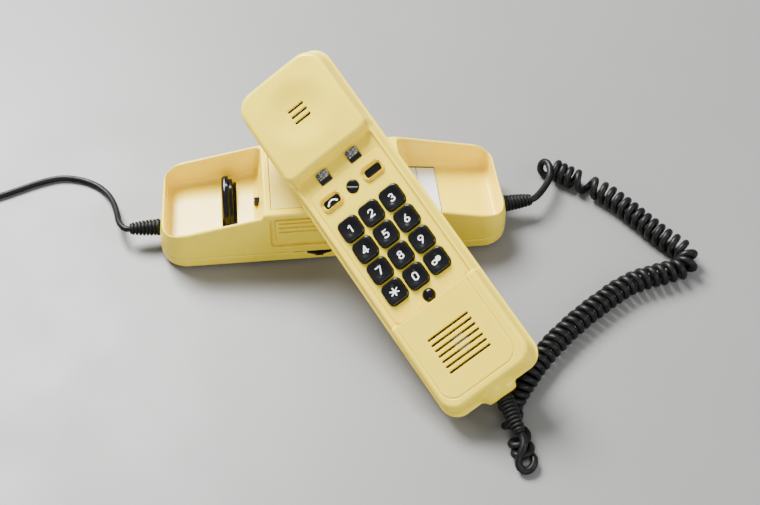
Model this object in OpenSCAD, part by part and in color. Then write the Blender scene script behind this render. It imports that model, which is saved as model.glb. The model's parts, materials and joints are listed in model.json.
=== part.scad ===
// Slim corded telephone, handset off the hook: cradle base, keypad handset,
// coiled handset cord and line cord. Millimetres, +Z up, table at z = 0.
// X runs along the base, its front faces -Y.

/* [View] */

/* [Base] */
// length of the base at its front edge
base_l = 225; // [200:1:240]
// length of the base at its back edge
base_l_back = 220; // [195:1:240]
// depth of the base, front to back
base_w = 66; // [58:1:74]
// height of the rim at the ends of the base
end_h = 27.4; // [22:0.2:34]
// height of the rim where it meets the middle block
mid_h = 43; // [36:0.5:48]
// height of the middle block at its front edge
block_front_h = 46; // [42:0.5:50]
// height of the middle block at its back edge
block_back_h = 42.5; // [38:0.5:48]
// half length of the middle block
block_x = 44; // [38:0.5:50]
// height of the seam between the two base mouldings
seam_h = 12; // [9:0.5:16]
// wall of the base mouldings
wall = 2.4; // [1.8:0.1:3.2]
// width of the rim around the two wells
rim_w = 3; // [2.4:0.1:4]
// height of the well floor beside the middle block
well_in_z = 20.2; // [17:0.2:24]
// height of the well floor at the outer end
well_out_z = 12.6; // [11:0.2:18]
// corner radius of the base plan, front and back
corner_r = 14; // [8:1:18]
corner_r_back = 9; // [6:1:16]
// height of the rubber feet
foot_h = 1.2; // [0.8:0.1:2.5]

/* [Hook switch] */
// position of the hook lever along the base
hook_x = -68.5; // [-76:0.5:-60]
// thickness of the hook lever
hook_t = 5.6; // [4:0.2:8]
// height of the tip of the lever
hook_tip_z = 29; // [24:0.5:34]

/* [Handset] */
// half width of the handset at its seam
hs_x = 33.3; // [29:0.1:36]
// distance from keypad centre to the ear end
hs_ear = 132; // [120:0.5:140]
// distance from keypad centre to the mouth end
hs_mouth = 105; // [96:0.5:112]
// depth of the seam under the key tops
hs_seam = 9; // [7:0.5:12]
// depth of the back under the key tops
hs_back = 24.6; // [20:0.2:28]
// wall of the handset mouldings
hs_wall = 2.2; // [1.6:0.1:3]
// height of the earpiece face over the key tops
ear_h = 6; // [4:0.5:9]
// height of the mouthpiece face over the key tops
mouth_h = 2; // [1:0.5:5]
// radius of the hollow in the earpiece
dish_r = 22.5; // [18:0.5:25]
// depth of the hollow in the earpiece
dish_d = 2; // [1:0.2:3]

/* [Keys] */
// spacing of the keys
key_pitch = 15.5; // [14:0.1:17]
// width of one key
key_w = 13.6; // [12:0.1:15]
// gap between a key and its hole
key_gap = 0.35; // [0.3:0.05:0.6]
// travel of a key
key_travel = 1.5; // [1:0.1:2]

/* [Cords] */
// outer width of the coiled cord
coil_d = 14.6; // [9:0.2:16]
// thickness of the coiled cord's wire
lead_d = 3.9; // [2.6:0.1:4.4]
// thickness of the line cord
line_d = 4; // [3:0.2:6]
// length of the cord glands
gland_l = 18; // [12:1:26]
// across the middle of the spare line cord's coil
spare_d = 44; // [40:1:48]

/* [Hidden] */
$fn = 48;
eps = 0.01;
black = [0.06, 0.06, 0.065];
cream = [0.93, 0.86, 0.66];
hx = base_l / 2;
hxb = base_l_back / 2;
hy = base_w / 2;
well_slope = (well_in_z - well_out_z) / 62;
well_a = atan(well_slope);
gland_y = -6;
gland_z = 12.6;
hook_pivot = [hook_x, -9, 11];
hook_slot = [[hook_x - 5.4, -14.4], [hook_x + 7, 25]];
slider_x = -11.3;
slider_z = 8.6;
// handset placed on the base's front edge, mouth end on the table
hs_pos = [29.7, -74.8, 62.95];
hs_rot = [21.3, -31, 19];
plate_z = -2.4;
shell_z = -3.4;
mat_z = -9.2;
pcb_z = -10.8;
hs_gland_z = -12;
hs_gland_y = -hs_mouth - 3.5;
// coiled cord: centre line from the base to the handset; the fourth number is
// its height over its width, lower where it lies slack under the handset's cord end
coil_route = [[151, 27.5, 7.3], [155.5, 24, 7.3], [161, 19, 7.3], [169, 13, 7.3],
    [178, 6, 7.3], [187, -3, 7.3], [195, -14, 7.3], [203, -26, 7.3],
    [211, -37.5, 7.3], [218.5, -47, 7.3], [223.5, -53, 7.3], [225, -59.5, 7.3],
    [221.5, -65.5, 7.3], [211.5, -68, 7.3], [198, -70.5, 7.3], [185, -74.5, 7.3],
    [172, -81, 7.3], [157.5, -90.5, 7.3], [142.5, -101.5, 7.3], [128.5, -113, 7.3],
    [116.5, -125, 7.3], [106.5, -136, 6.6, 0.9], [98.5, -146.5, 5.5, 0.75],
    [91.5, -157, 4.5, 0.61], [89, -166.5, 4.2, 0.57], [90, -176.5, 4.2, 0.57],
    [91.5, -185.5, 4.2, 0.57], [92, -193.5, 4.2, 0.57]];
lead_in = [[130.5, -6, 12.6], [134.5, -2, 12.6], [139, 4.5, 12], [143.5, 12.5, 10.8],
    [144.8, 20, 9.6], [145.8, 26, 8.4], [147.6, 29.4, 7.6], [150.8, 27.7, 7.3]];
lead_out = [[91.8, -193.7, 4], [91.2, -197.5, 3.2], [91.6, -201, 3], [94, -203.2, 4],
    [96.4, -202.2, 6.6], [96.8, -198.5, 9.4], [96, -193, 10.7], [94.8, -187, 11.1],
    [93.4, -182, 12.1], [92.5, -178.9, 13]];
line_route = [[-130.5, -6, 12.6], [-135, -5, 12.2], [-139, 2, 10.6],
    [-141, 12, 8], [-144, 24, 5], [-149, 35, 2.8], [-157, 44, 2], [-168, 50, 2],
    [-181, 52.5, 2], [-195, 49, 2], [-208, 43, 2], [-221, 36, 2], [-234, 28, 2],
    [-245, 20, 2]];
tail_route = [[-263.5, -26.5, 2], [-256, -34, 2], [-249, -40, 2], [-243, -47, 2],
    [-240, -55, 2.4], [-239, -63, 3.4]];
spare_c = [-267, 2, 0];

// ---- shared shapes -------------------------------------------------------

// plan of the base, drawn in by d on every side
module base_plan(d = 0) {
    hull() for (s = [-1, 1]) {
        translate([s * (hx - corner_r), -hy + corner_r]) circle(corner_r - d);
        translate([s * (hxb - corner_r_back), hy - corner_r_back])
            circle(corner_r_back - d);
    }
}

// rectangle with rounded corners, centred
module rrect(w, l, r) {
    hull() for (x = [-1, 1], y = [-1, 1])
        translate([x * (w / 2 - r), y * (l / 2 - r)])
            circle(r, $fn = r < 5 ? 24 : 48);
}

// side view of the sloping rims, drawn in by d from the top
module rim_side(d = 0) {
    m = mid_h + 0.5;
    polygon([[-hx - 2, -1], [hx + 2, -1], [hx + 2, end_h - d],
        [block_x, m - d], [-block_x, m - d], [-hx - 2, end_h - d]]);
}

// end view of the middle block, drawn in by d
module block_end(d = 0) {
    polygon([[-hy + d, -1], [hy - d, -1], [hy - d, block_back_h - 7 - d],
        [hy - 1.5 - d, block_back_h - 3 - d], [hy - 5, block_back_h - d],
        [-hy + 3.5, block_front_h - d], [-hy + 1 + d, block_front_h - 1.2 - d],
        [-hy + d, block_front_h - 3.6 - d]]);
}

// plan of one well, s = side, grown by g
module well_plan(s, g = 0) {
    x0 = block_x + 1.5 - g;
    x1 = hxb - rim_w + 0.4 + g;
    y1 = hy - rim_w + g;
    hull() {
        translate([s * (x0 + 4), y1 - 4]) circle(4);
        translate([s * (x0 + 4), -y1 + 4]) circle(4);
        translate([s * (x1 - 7), y1 - 7]) circle(7);
        translate([s * (x1 + 1 - 11), -y1 + 11]) circle(11);
    }
}

// space of one well, from its sloping floor up; g grows it
module well(s, g = 0) {
    intersection() {
        translate([0, 0, -2]) linear_extrude(60) well_plan(s, g);
        translate([s * block_x, 0, well_in_z - g]) rotate([0, s * well_a, 0])
            translate([s > 0 ? -4 : -80, -40, 0]) cube([84, 80, 60]);
    }
}

// a thing lying on the well floor at x, tilted with it
module on_well(s, x, y, lift = 0) {
    translate([s * block_x, 0, well_in_z]) rotate([0, s * well_a, 0])
        translate([s * (x - block_x), y, lift]) children();
}

// ribbed gland along +Z, l long
module gland(l, r0, r1, ribs, neck = 5) {
    p = (l - 3) / ribs;
    rotate_extrude() polygon(concat(neck > 0 ? [[0, -neck], [r0 - 1.4, -neck],
        [r0 - 1.4, -2.6], [r0 - 0.6, -2.6], [r0 - 0.6, 0]] : [[0, 0], [r0 - 0.6, 0]],
        [[r0, 0.4], [r0, 1.6]],
        [for (i = [0 : ribs - 1], k = [0 : 3]) let (z = 2 + i * p,
            r = r0 - 0.2 - (r0 - r1) * i / ribs)
            [r - (k == 0 || k == 3 ? 0.9 : 0), z + [0, 0.15, 0.6, 0.72][k] * p]],
        [[r1 - 0.6, l - 1], [r1 - 0.6, l], [0, l]]));
}

// tube of diameter d with n sides through the points of p; a point's fourth
// number is the tube's height over its width there
function place(q) = [q[0], q[1], q[2]];
function unit(v) = v / norm(v);
function along(p, i) = let (m = len(p) - 1)
    unit(place(p[min(i + 1, m)]) - place(p[max(i - 1, 0)]));
module tube(p, d, n = 8) {
    rings = [for (i = [0 : len(p) - 1]) let (t = along(p, i),
        a = unit(cross(t, [0, 0, 1])), b = cross(a, t),
        h = len(p[i]) > 3 ? p[i][3] : 1)
        for (k = [0 : n - 1]) place(p[i]) + d / 2 *
            (a * cos(360 * (k + 0.5) / n) + b * h * sin(360 * (k + 0.5) / n))];
    m = len(p);
    polyhedron(rings, concat([[for (k = [0 : n - 1]) k]],
        [[for (k = [0 : n - 1]) (m - 1) * n + n - 1 - k]],
        [for (i = [0 : m - 2], k = [0 : n - 1])
            [i * n + k, (i + 1) * n + k, (i + 1) * n + (k + 1) % n,
             i * n + (k + 1) % n]]), convexity = 10);
}

// ---- base ----------------------------------------------------------------

module base_body(d) {
    intersection() {
        linear_extrude(60) base_plan(d);
        union() {
            translate([0, 50, 0]) rotate([90, 0, 0]) linear_extrude(100) rim_side(d);
            translate([-block_x + d, 0, 0]) rotate([90, 0, 90])
                linear_extrude(2 * (block_x - d)) block_end(d);
        }
    }
}

base_posts = [[-34, -22], [34, -22], [-34, 24], [34, 24]];
feet = [[-92, -22], [92, -22], [-92, 22], [92, 22], [0, 0]];

module base_top_shell() {
    color(cream) difference() {
        union() {
            difference() {
                base_body(0);
                base_body(wall);
                translate([-150, -50, -1]) cube([300, 100, seam_h + 1]);
            }
            intersection() {
                union() for (s = [-1, 1]) well(s, 1.8);
                union() {
                    translate([0, 0, seam_h]) base_body_up();
                    linear_extrude(seam_h + 1) base_plan(wall + 0.6);
                }
            }
            for (p = base_posts) translate([p[0], p[1], seam_h + 1])
                cylinder(r = 3.4, h = p[1] < 0 ? 31 : 29);
        }
        for (s = [-1, 1]) well(s, 0);
        // pocket of the card panel
        translate([-40.2, -26.7, 0]) block_tilt() translate([0, 0, -1.5])
            cube([80.4, 50.9, 4]);
        // recess and opening of the louvre in the front wall
        translate([-41, -hy - 1, 16]) cube([82, 2, 26]);
        translate([-34, -hy - 1, 24]) cube([68, wall + 3, 14]);
        // slot of the hook lever and the latch hole beside it
        translate([hook_slot[0][0], hook_slot[0][1], 5]) cube(concat(
            hook_slot[1] - hook_slot[0], [30]));
        translate([-block_x - 4, -0.5, 21.5]) cube([5, 3.2, 4.6]);
        gland_holes();
        for (p = base_posts) translate([p[0], p[1], seam_h])
            cylinder(r = 1.35, h = 14);
    }
}

// the upper part of the base body, moved down to start at z = 0
module base_body_up() {
    translate([0, 0, -seam_h]) difference() {
        base_body(0.5);
        translate([-150, -50, -1]) cube([300, 100, seam_h + 1]);
    }
}

// frame on the tilted top of the middle block, origin at its front edge
module block_tilt() {
    a = atan((block_back_h - block_front_h) / (2 * hy - 8.5));
    translate([0, 0, block_front_h + (26.7 - hy + 3.5) * -tan(a)])
        rotate([a, 0, 0]) children();
}

module gland_holes() {
    for (s = [-1, 1]) translate([s * (hx - 6), gland_y, gland_z])
        rotate([0, s * 90, 0]) cylinder(r = 4.9, h = 12);
}

module base_bottom_shell() {
    color(cream) difference() {
        union() {
            difference() {
                translate([0, 0, foot_h]) linear_extrude(seam_h - foot_h)
                    base_plan(0);
                translate([0, 0, foot_h + wall]) linear_extrude(20)
                    base_plan(wall);
            }
            for (p = base_posts) translate([p[0], p[1], foot_h + 1])
                cylinder(r = 4.6, h = seam_h - foot_h - 0.2);
            // bracket of the hook lever's pin
            for (x = [-5.2, 3.6]) translate([hook_x + x, -13, foot_h + 1])
                cube([1.6, 8, 11]);
        }
        for (p = base_posts) translate([p[0], p[1], foot_h - 1]) {
            cylinder(r = 1.8, h = 20);
            cylinder(r = 3.2, h = 4);
        }
        for (p = feet) translate([p[0], p[1], 0])
            cylinder(r = 6.2, h = foot_h + 0.8);
        translate([hook_x - 10, hook_pivot[1], hook_pivot[2]])
            rotate([0, 90, 0]) cylinder(r = 1.2, h = 20);
        // slot of the ringer slider
        translate([slider_x - 7.4, -hy - 1, slider_z - 1.7])
            cube([14.8, wall + 2, 3.4]);
        gland_holes();
        // clearance for the well floors
        for (s = [-1, 1]) well(s, 1.95);
    }
}

module base_feet() {
    color([0.2, 0.2, 0.2]) for (p = feet) translate([p[0], p[1], 0])
        cylinder(r = 6, h = foot_h + 0.8);
}

module base_screws() {
    color([0.7, 0.7, 0.7]) for (p = base_posts) translate([p[0], p[1], 0])
        difference() {
            union() {
                translate([0, 0, foot_h + 0.9]) cylinder(r = 2.9, h = 2);
                translate([0, 0, foot_h + 2.8]) cylinder(r = 1.35, h = 16);
            }
            translate([-3, -0.4, 0]) cube([6, 0.8, foot_h + 1.6]);
        }
}

module hook_lever() {
    color(black) translate([hook_x - hook_t / 2, 0, 0]) difference() {
        rotate([90, 0, 90]) linear_extrude(hook_t) polygon([[-12.6, 8.6],
            [-13.4, 12], [-12.6, 15.6], [-10, 18.6], [-5, 22], [0, 24.6],
            [6, 27], [12, 28.6], [17, hook_tip_z], [20.4, 28.2],
            [22.4, 25.6], [22.8, 21], [21.5, 15.6], [8, 12.8], [-5, 8.6],
            [-9, 7.6]]);
        translate([-1, hook_pivot[1], hook_pivot[2]]) rotate([0, 90, 0])
            cylinder(r = 1.06, h = hook_t + 2);
    }
}

module hook_pivot_pin() {
    color([0.7, 0.7, 0.7]) translate([hook_x - 5.6, hook_pivot[1], hook_pivot[2]])
        rotate([0, 90, 0]) cylinder(r = 1, h = 11.2);
}

module hook_contact_switch() {
    color([0.15, 0.15, 0.2]) translate([hook_x - 4, 0, foot_h + wall]) {
        cube([8, 14, 3.6]);
        translate([2.6, 8, 3.6]) cube([2.8, 3, 0.8]);
    }
}

module base_circuit_board() {
    color([0.2, 0.4, 0.2]) difference() {
        translate([-38, -27, 12.8]) cube([76, 54, 1.6]);
        for (p = base_posts) translate([p[0], p[1], 10]) cylinder(r = 3.6, h = 20);
    }
}

module ringer_sounder() {
    color([0.75, 0.65, 0.35]) translate([0, -26.5, 31]) rotate([90, 0, 0]) {
        cylinder(r = 10, h = 3);
        cylinder(r = 7, h = 4);
    }
}

module ringer_louvre() {
    color(cream) difference() {
        union() {
            translate([-38, -hy - 0.4, 20]) cube([76, 1.4, 21.4]);
            translate([-33.8, -hy + 0.9, 24.2]) cube([67.6, 1.6, 13.6]);
        }
        for (z = [38.4, 34.4, 30.4]) translate([-36, -hy - 1, z])
            cube([72, 1.2, 1.4]);
        for (z = [34.4, 30.4, 26.4], x = [-30, -12, 6, 18])
            translate([x, -hy - 1, z]) cube([12, 5, 1.2]);
    }
}

module ringer_slider() {
    color(black) translate([slider_x, -hy, slider_z]) {
        translate([-2.8, -0.9, -1.35]) cube([5.6, 4.6, 2.7]);
        translate([-4.6, wall + 0.3, -2.6]) cube([9.2, 1.4, 5.2]);
    }
}

module card_panel() {
    color([0.95, 0.9, 0.72]) translate([-40, -26.5, 0]) block_tilt()
        translate([0, 0, -1.5]) difference() {
            cube([80, 50.5, 1.5]);
            translate([38, 48.6, 0.9]) cube([4, 3, 2]);
        }
}

module paper_label() {
    color([0.95, 0.95, 0.95]) on_well(1, 0, 0) translate([52, -25, 0])
        cube([18.5, 52, 0.25]);
}

module line_gland() {
    color(black) translate([-hx, gland_y, gland_z]) rotate([0, -90, 0])
        gland(gland_l, 5.5, 3.6, 6);
}

module base_cord_gland() {
    color(black) translate([hx, gland_y, gland_z]) rotate([0, 90, 0])
        gland(gland_l, 5.5, 3.6, 6);
}

module line_terminals() {
    color([0.85, 0.85, 0.8]) translate([-30, 8, 14.4]) {
        cube([14, 8, 6]);
        for (x = [2, 5.4, 8.8]) translate([x, 1.5, 6]) cube([2.2, 5, 0.8]);
    }
}

// ---- handset -------------------------------------------------------------

// place a piece drawn with its key tops at z = 0 and its ear end to +Y
module hs() translate(hs_pos) rotate(hs_rot) children();

// plan of the handset, drawn in by d
module hs_plan(d = 0) {
    hull() for (s = [-1, 1]) {
        translate([s * (hs_x - 13), hs_ear - 13]) circle(13 - d, $fn = 32);
        translate([s * (hs_x - 11), -hs_mouth + 11]) circle(11 - d, $fn = 32);
    }
}

// thin slice of the plan at height z
module slice(z, d) translate([0, 0, z]) linear_extrude(eps) hs_plan(d);

// earpiece and mouthpiece blocks, drawn in by d
module ear_block(d = 0) {
    hull() {
        translate([0, 97.9 + d / 2, -5]) linear_extrude(eps)
            rrect(61 - 2 * d, 60 - d, 11);
        translate([0, 97.9 + d / 2, ear_h - 2.4 - d]) linear_extrude(eps)
            rrect(59 - 2 * d, 58.4 - d, 11);
        translate([0, 97.9 + d / 2, ear_h - d]) linear_extrude(eps)
            rrect(54.6 - 2 * d, 54 - d, 9);
    }
}

module mouth_block(d = 0) {
    hull() {
        translate([0, -71, -5]) linear_extrude(eps) rrect(62 - 2 * d, 61 - 2 * d, 9);
        translate([0, -71, mouth_h - 1.4 - d]) linear_extrude(eps)
            rrect(60.4 - 2 * d, 58.4 - 2 * d, 8);
        translate([0, -71, mouth_h - d]) linear_extrude(eps)
            rrect(58 - 2 * d, 56 - 2 * d, 7);
    }
}

module key_holes(g, h0, h1) {
    for (c = [-1 : 1], r = [0 : 3])
        translate([c * key_pitch, (1.5 - r) * key_pitch, h0])
            linear_extrude(h1 - h0) rrect(key_w + 2 * g, key_w + 2 * g, 3.4 + g);
    for (s = [-1, 1]) translate([s * key_pitch, 44, h0]) linear_extrude(h1 - h0)
        rrect(10.4 + 2 * g, 5.2 + 2 * g, 2 + g);
    translate([0, 43.6, h0]) cylinder(r = 3.8 + g, h = h1 - h0);
    translate([0, -36.8, h0]) cylinder(r = 3.7 + g, h = h1 - h0);
}

module hs_screw_at() {
    for (p = [[0, 124, 0], [0, -95, 0]]) translate(p) children();
}

module gland_boss() {
    translate([0, -hs_mouth + 1, 0]) rotate([90, 0, 0]) linear_extrude(4.5)
        translate([0, hs_gland_z]) rrect(20, 13, 5);
}

module gland_bore() {
    translate([0, -hs_mouth + 8, hs_gland_z]) rotate([90, 0, 0])
        cylinder(r = 4.7, h = 20);
}

module handset_front_shell() {
    color(cream) hs() difference() {
        union() {
            hull() {
                slice(-hs_seam, 0);
                slice(-hs_seam + 1.2, 0.2);
                slice(shell_z - 0.2, 3.2);
                slice(shell_z + 1.4, 4.2);
            }
            ear_block();
            mouth_block();
            intersection() {
                gland_boss();
                translate([-50, -150, -hs_seam]) cube([100, 100, 20]);
            }
        }
        // inside
        difference() {
            hull() {
                slice(-hs_seam - eps, hs_wall);
                slice(shell_z - hs_wall, 4.4 + hs_wall);
            }
            hs_screw_at() translate([0, 0, -hs_seam - 1]) cylinder(r = 3.2, h = 20);
        }
        difference() {
            intersection() {
                for (z = [-1.2, 0]) translate([0, 0, z]) ear_block(hs_wall + 1);
                translate([-40, 60, -8]) cube([80, 80, 10.2]);
            }
            hs_screw_at() translate([0, 0, -hs_seam - 1]) cylinder(r = 3.2, h = 20);
        }
        difference() {
            for (z = [-1.2, 0]) translate([0, 0, z]) mouth_block(hs_wall);
            hs_screw_at() translate([0, 0, -hs_seam - 1]) cylinder(r = 3.2, h = 20);
        }
        // floor of the keypad field inside its raised edge
        translate([0, -0.5, shell_z]) linear_extrude(4)
            difference() {
                rrect(56.4, 84 + 55, 3);
                translate([-40, 68]) square([80, 60]);
                translate([-40, -41.4 - 60]) square([80, 60]);
            }
        key_holes(key_gap, -12, 4);
        // pockets of the contact plates
        for (s = [-1, 1]) translate([s * 11.2, 59.5, shell_z - 0.6])
            linear_extrude(4) square(8, center = true);
        // hollow and slots of the earpiece
        translate([0, 99.3, ear_h - dish_d + (dish_r * dish_r + dish_d * dish_d)
            / (2 * dish_d)])
            sphere(r = (dish_r * dish_r + dish_d * dish_d) / (2 * dish_d), $fn = 64);
        for (y = [95, 99.2, 103.4]) translate([-5.2, y - 0.65, -2])
            cube([10.4, 1.3, 12]);
        // slots of the mouthpiece
        for (i = [0 : 6]) translate([-14.3, -59 - i * 3.72 - 0.5, -5])
            cube([28.6, 1, 12]);
        hs_screw_at() translate([0, 0, -hs_seam - 1]) cylinder(r = 1.2, h = 10);
        gland_bore();
    }
}

module handset_back_shell() {
    color(cream) hs() difference() {
        union() {
            hull() {
                slice(-hs_seam - eps, 0.2);
                slice(-14, 0.8);
                slice(-18, 3);
                slice(-21.5, 7);
                slice(-hs_back, 15);
            }
            intersection() {
                gland_boss();
                translate([-50, -150, -50]) cube([100, 100, 50 - hs_seam - eps]);
            }
        }
        difference() {
            hull() {
                slice(-hs_seam + eps, hs_wall);
                slice(-17, 3 + hs_wall);
                slice(-hs_back + hs_wall, 15 + hs_wall / 2);
            }
            hs_screw_at() translate([0, 0, -30]) cylinder(r = 4.4, h = 30);
            for (x = [-16, 16], y = [-36, 48]) translate([x, y, -hs_back])
                cylinder(r = 2.4, h = hs_back + pcb_z - 1.6);
        }
        hs_screw_at() translate([0, 0, -hs_back - 3]) {
            cylinder(r = 1.7, h = 30);
            cylinder(r = 3, h = 8);
        }
        gland_bore();
    }
}

module keypad_plate() {
    color([0.95, 0.89, 0.7]) hs() difference() {
        translate([0, 7, shell_z]) linear_extrude(1) rrect(51, 94.6, 4);
        key_holes(key_gap, -6, 2);
    }
}

// one key: cap, skirt and dished top, drawn at its own centre
module key_cap() {
    difference() {
        translate([0, 0, -7.4]) linear_extrude(7.4) rrect(key_w, key_w, 3.4);
        translate([0, 0, 17.2]) sphere(r = 18, $fn = 48);
        translate([0, 0, -8]) linear_extrude(6.6) rrect(key_w - 2.4, key_w - 2.4, 2.4);
    }
    translate([0, 0, -7.4]) cylinder(r = 2, h = 6);
}

module key(c, r) color(black) hs()
    translate([c * key_pitch, (1.5 - r) * key_pitch, 0]) key_cap();

module key_1() key(-1, 0);
module key_2() key(0, 0);
module key_3() key(1, 0);
module key_4() key(-1, 1);
module key_5() key(0, 1);
module key_6() key(1, 1);
module key_7() key(-1, 2);
module key_8() key(0, 2);
module key_9() key(1, 2);
module key_star() key(-1, 3);
module key_0() key(0, 3);
module key_redial() key(1, 3);

module button_frames() {
    color(cream) hs() for (s = [-1, 1]) translate([s * key_pitch, 44, plate_z])
        linear_extrude(1) difference() {
            rrect(14.6, 9.4, 4);
            rrect(11.4, 6.2, 2.6);
        }
}

module bar_button(s) {
    color(black) hs() translate([s * key_pitch, 44, -7.4]) linear_extrude(6.2)
        rrect(10.4, 5.2, 2);
}

module line_button() bar_button(-1);
module flash_button() bar_button(1);

module mute_button() {
    color(black) hs() translate([0, -36.8, 0]) {
        translate([0, 0, -7.4]) cylinder(r = 3.7, h = 6.1);
        translate([0, 0, -1.3]) cylinder(r1 = 3.7, r2 = 2.6, h = 0.6);
    }
}

module volume_adjuster() {
    color(black) hs() translate([0, 43.6, 0]) difference() {
        union() {
            translate([0, 0, -8]) cylinder(r = 3.8, h = 6.2);
            translate([0, 0, -8.6]) cylinder(r = 2, h = 2);
        }
        rotate([0, 0, -37]) translate([-5, -0.45, -2.8]) cube([10, 0.9, 2]);
    }
}

module contact_plates() {
    color([0.75, 0.75, 0.78]) hs() for (s = [-1, 1])
        translate([s * 11.2, 59.5, shell_z - 0.6]) linear_extrude(0.9)
            square(7.8, center = true);
}

module key_mat() {
    color([0.35, 0.35, 0.38]) hs() translate([0, 6, pcb_z]) difference() {
        linear_extrude(mat_z - pcb_z) square([48, 90], center = true);
    }
}

module handset_circuit_board() {
    color([0.2, 0.4, 0.2]) hs() translate([-24.5, -42, pcb_z - 1.6])
        cube([49, 96, 1.6]);
}

module receiver_capsule() {
    color([0.3, 0.3, 0.32]) hs() translate([0, 98, -8]) {
        cylinder(r = 18, h = 5);
        translate([0, 0, 5]) cylinder(r = 15, h = 3);
    }
}

module receiver_gasket() {
    color([0.2, 0.2, 0.2]) hs() translate([0, 98, 0]) difference() {
        cylinder(r = 18, h = 2.2);
        translate([0, 0, -1]) cylinder(r = 13, h = 4);
    }
}

module microphone_capsule() {
    color([0.6, 0.6, 0.62]) hs() translate([0, -70, -7]) cylinder(r = 4.9, h = 5);
}

module handset_screws() {
    color([0.7, 0.7, 0.7]) hs() hs_screw_at() difference() {
        union() {
            translate([0, 0, -hs_back + 3]) cylinder(r = 2.8, h = 2);
            translate([0, 0, -hs_back + 4]) cylinder(r = 1.2, h = 15);
        }
        translate([-3, -0.4, -hs_back + 2]) cube([6, 0.8, 1.8]);
    }
}

module handset_gland() {
    color(black) hs() translate([0, hs_gland_y, hs_gland_z]) {
        rotate([90, 0, 0]) translate([0, 0, -5]) {
            cylinder(r = 4, h = 6.4);
            translate([0, 0, 2]) cylinder(r = 4.7, h = 4);
        }
        translate([0, -1.3, 0]) rotate([82, 0, -10]) gland(21.6, 5.3, 3.2, 7, 0);
    }
}

// ---- cords ---------------------------------------------------------------

module coiled_cord() color(black) tube(coil_route, coil_d, 10);
module coiled_cord_base_lead() color(black) tube(lead_in, lead_d, 8);
module coiled_cord_handset_lead() color(black) tube(lead_out, lead_d, 8);
module line_cord() color(black) tube(line_route, line_d, 8);
module line_cord_tail() color(black) tube(tail_route, line_d, 8);

module line_cord_spare_coil() {
    n = 4;
    color(black) translate(spare_c) rotate_extrude()
        translate([spare_d / 2, n * line_d / 2]) {
            square([(n - 1) * line_d, (n - 1) * line_d], center = true);
            for (i = [0 : n - 1], j = [0 : n - 1])
                translate([(i - 1.5) * line_d, (j - 1.5) * line_d])
                    circle(line_d / 2, $fn = 24);
        }
}

module line_plug() {
    color([0.8, 0.8, 0.82, 0.6]) translate([-239, -63, 0]) {
        translate([-4.8, -22, 0]) cube([9.6, 22, 6.8]);
        translate([-1.6, -16, 6.8]) cube([3.2, 12, 1.2]);
    }
}

module plug_contacts() {
    color([0.85, 0.7, 0.3]) translate([-239, -85, 0])
        for (x = [-1.9, -0.6, 0.7]) translate([x, -0.3, 1.5]) cube([0.6, 0.3, 4]);
}

// ---- drawing -------------------------------------------------------------
base_top_shell();
base_bottom_shell();
base_feet();
base_screws();
hook_lever();
hook_pivot_pin();
hook_contact_switch();
base_circuit_board();
ringer_sounder();
ringer_louvre();
ringer_slider();
card_panel();
paper_label();
line_gland();
base_cord_gland();
line_terminals();
handset_front_shell();
handset_back_shell();
keypad_plate();
key_1();
key_2();
key_3();
key_4();
key_5();
key_6();
key_7();
key_8();
key_9();
key_star();
key_0();
key_redial();
button_frames();
line_button();
flash_button();
mute_button();
volume_adjuster();
contact_plates();
key_mat();
handset_circuit_board();
receiver_capsule();
receiver_gasket();
microphone_capsule();
handset_screws();
handset_gland();
coiled_cord();
coiled_cord_base_lead();
coiled_cord_handset_lead();
line_cord();
line_cord_spare_coil();
line_cord_tail();
line_plug();
plug_contacts();
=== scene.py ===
"""Slim corded telephone with its keypad handset off the hook: the looks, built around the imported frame.

Shapes are worked out in millimetres and placed in metres. The moulded shells, keys and caps are
skins on a distance field, whose edges are rounded where the fields meet, as a mould's are.
The handset's own frame has X to the right, Y to the earpiece and Z out of the keypad."""

import json
import math

import bpy
import numpy as np
from mathutils import Euler, Matrix, Vector


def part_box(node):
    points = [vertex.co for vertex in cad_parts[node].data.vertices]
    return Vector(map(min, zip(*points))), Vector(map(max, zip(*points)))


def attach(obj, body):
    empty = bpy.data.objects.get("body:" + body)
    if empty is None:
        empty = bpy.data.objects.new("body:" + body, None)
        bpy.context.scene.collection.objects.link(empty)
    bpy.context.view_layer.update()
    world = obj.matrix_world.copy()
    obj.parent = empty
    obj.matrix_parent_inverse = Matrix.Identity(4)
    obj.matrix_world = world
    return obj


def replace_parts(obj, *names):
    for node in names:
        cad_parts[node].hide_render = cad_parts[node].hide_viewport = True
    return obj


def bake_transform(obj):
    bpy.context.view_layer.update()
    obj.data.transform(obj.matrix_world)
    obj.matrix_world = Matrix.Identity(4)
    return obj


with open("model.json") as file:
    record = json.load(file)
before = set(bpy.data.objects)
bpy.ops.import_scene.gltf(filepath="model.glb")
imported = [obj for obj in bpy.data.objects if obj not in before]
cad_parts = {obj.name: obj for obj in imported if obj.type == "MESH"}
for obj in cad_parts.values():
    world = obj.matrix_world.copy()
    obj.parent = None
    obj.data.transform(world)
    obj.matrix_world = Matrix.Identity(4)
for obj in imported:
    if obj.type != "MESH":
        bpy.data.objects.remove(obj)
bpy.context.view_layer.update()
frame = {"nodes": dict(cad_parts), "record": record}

MM = 0.001
scene = bpy.context.scene


def linked(name, data):
    """A new object in the scene."""
    thing = bpy.data.objects.new(name, data)
    scene.collection.objects.link(thing)
    return thing


# ---- camera ---------------------------------------------------------------

CAMERA_AT = (-34.6, -520.3, 610.6)
CAMERA_RIGHT = (0.9944, -0.1045, 0.0183)
CAMERA_UP = (0.0698, 0.7742, 0.6291)
CAMERA_LENS = 57.23  # on a 36 mm wide sensor


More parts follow.
